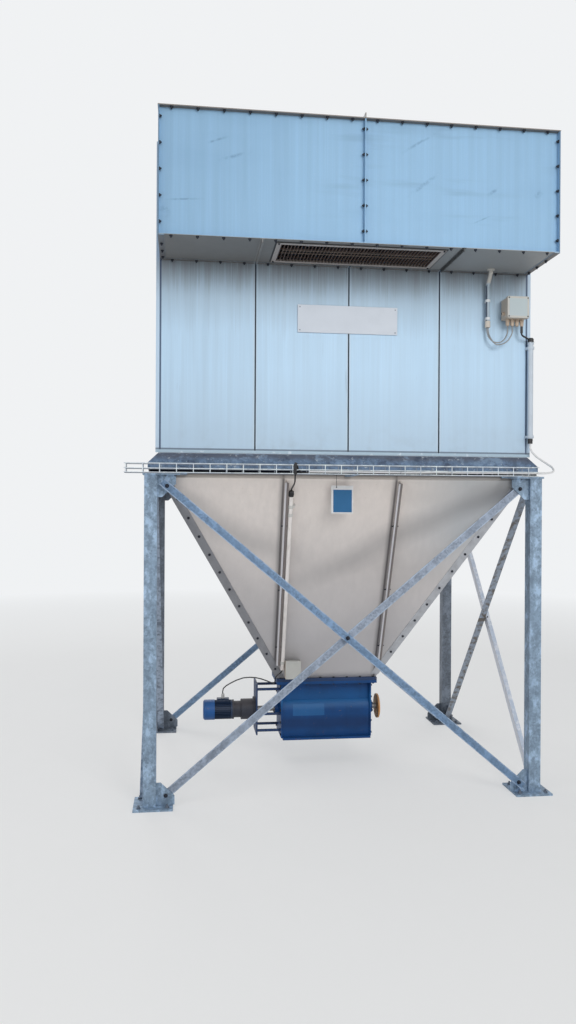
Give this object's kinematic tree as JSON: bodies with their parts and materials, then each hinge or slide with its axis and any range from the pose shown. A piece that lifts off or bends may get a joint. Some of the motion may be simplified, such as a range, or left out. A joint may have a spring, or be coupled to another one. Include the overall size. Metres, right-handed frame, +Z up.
{
  "type": "dust filter unit with hopper and rotary valve",
  "caption": "Free-standing dust filter unit: sheet metal filter housing with an overhanging head box, hopper on a braced steel frame, and a motor-driven rotary valve below.",
  "frame": {"origin": "on the floor, in the middle of the four legs, which is the centre of the anchor bolt patterns", "axes": "+Z up, +X to the right as seen from the front, the front faces -Y"},
  "size_m": [2.749, 2.38, 4.18],
  "materials": {
    "zinc_frame": "hot-dip galvanised, matt with spangle",
    "zinc_sheet": "galvanised sheet with fine vertical streaks",
    "hopper_sheet": "weathered warm grey sheet",
    "grille": "dull metal with brown dust between the slats",
    "valve_paint": "semi-gloss blue enamel, dusty",
    "rotor_steel": "bare turned steel",
    "disc_orange": "dull orange paint",
    "gearbox_grey": "dark grey cast housing",
    "tray_wire": "bright zinc wire",
    "box_plastic": "aged light beige plastic",
    "conduit": "light grey plastic pipe",
    "cable_grey": "light grey sheath",
    "cable_black": "black sheath"
  },
  "bodies": {
    "unit": {"front_left_leg": "zinc_frame", "front_right_leg": "zinc_frame", "rear_left_leg": "zinc_frame", "rear_right_leg": "zinc_frame", "ring_beam": "zinc_frame", "skirt": "zinc_frame", "roof": "zinc_sheet", "soffit": "zinc_sheet", "wall_front": "zinc_sheet", "wall_rear": "zinc_sheet", "wall_left": "zinc_sheet", "wall_right": "zinc_sheet", "head_front": "zinc_sheet", "head_left": "zinc_sheet", "head_right": "zinc_sheet", "grille_frame": "zinc_sheet", "vent_grille": "grille", "hopper_front": "hopper_sheet", "hopper_rear": "hopper_sheet", "hopper_left": "hopper_sheet", "hopper_right": "hopper_sheet", "hopper_corners": "hopper_sheet", "hopper_flange": "valve_paint", "valve_body": "valve_paint", "valve_end_left": "valve_paint", "valve_end_right": "valve_paint", "drive_bracket": "valve_paint", "gearbox": "gearbox_grey", "motor": "valve_paint", "tray_floor": "tray_wire", "tray_sides": "tray_wire", "tray_brackets": "zinc_frame", "junction_box": "box_plastic", "switch_box": "box_plastic", "corner_conduit": "conduit", "soffit_conduit": "conduit", "hopper_conduit": "conduit", "box_hose": "cable_grey", "tray_cable": "cable_grey", "corner_cable": "cable_black", "hopper_cable": "cable_black", "motor_cable": "cable_black", "braces_outer": "zinc_frame", "braces_inner": "zinc_frame"},
    "rotor_set": {"rotor": "rotor_steel", "shaft_disc": "disc_orange"}
  },
  "joints": [
    {"name": "rotor_spin", "type": "hinge", "parent": "unit", "child": "rotor_set", "pos_m": [0, 0, 0.372], "axis": [1, 0, 0], "continuous": true}
  ]
}
